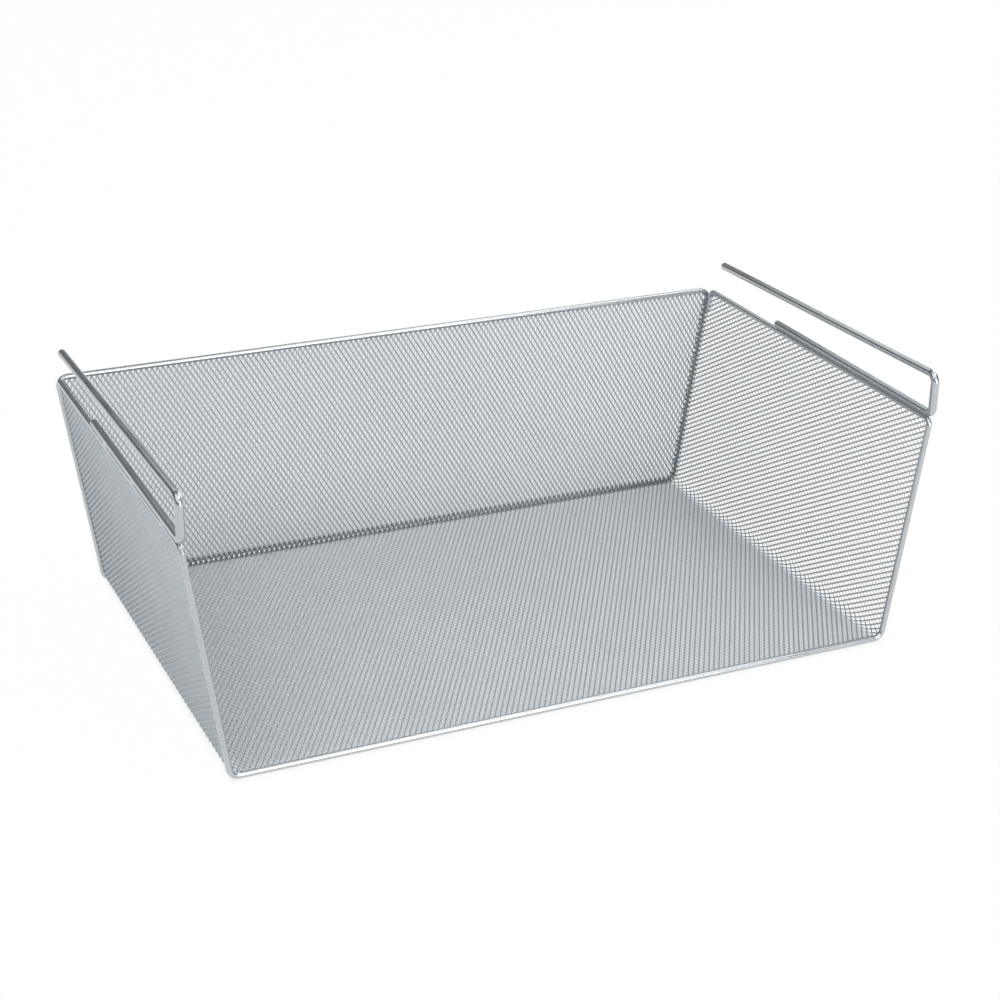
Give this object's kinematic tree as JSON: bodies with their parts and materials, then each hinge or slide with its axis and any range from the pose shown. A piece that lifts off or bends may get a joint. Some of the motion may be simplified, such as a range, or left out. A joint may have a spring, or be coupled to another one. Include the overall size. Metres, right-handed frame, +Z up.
{
  "type": "under-shelf basket",
  "caption": "Open-fronted basket of silver expanded metal mesh on a bent wire frame, with a wire hook on each side that slides over a shelf board to hang the basket below it.",
  "frame": {"origin": "on the ground under the middle of the basket, where the front and back wires' undersides lie", "axes": "+X along the basket's width towards its right side, +Y from the open front to the back, +Z up"},
  "size_m": [0.4246, 0.2486, 0.159],
  "materials": {
    "coated_wire": "silver powder coat, satin",
    "coated_mesh": "silver powder coat, satin",
    "coated_weld": "silver powder coat over the bead"
  },
  "bodies": {
    "root": {"body_rim_wire": "coated_wire", "back_rim_wire": "coated_wire", "left_hook": "coated_wire", "right_hook": "coated_wire", "floor_mesh": "coated_mesh", "left_bend_mesh": "coated_mesh", "right_bend_mesh": "coated_mesh", "left_side_mesh": "coated_mesh", "right_side_mesh": "coated_mesh", "back_mesh": "coated_mesh", "left_hook_weld_1": "coated_weld", "left_hook_weld_2": "coated_weld", "left_hook_weld_3": "coated_weld", "right_hook_weld_1": "coated_weld", "right_hook_weld_2": "coated_weld", "right_hook_weld_3": "coated_weld", "left_rim_weld": "coated_weld", "right_rim_weld": "coated_weld"}
  },
  "joints": []
}
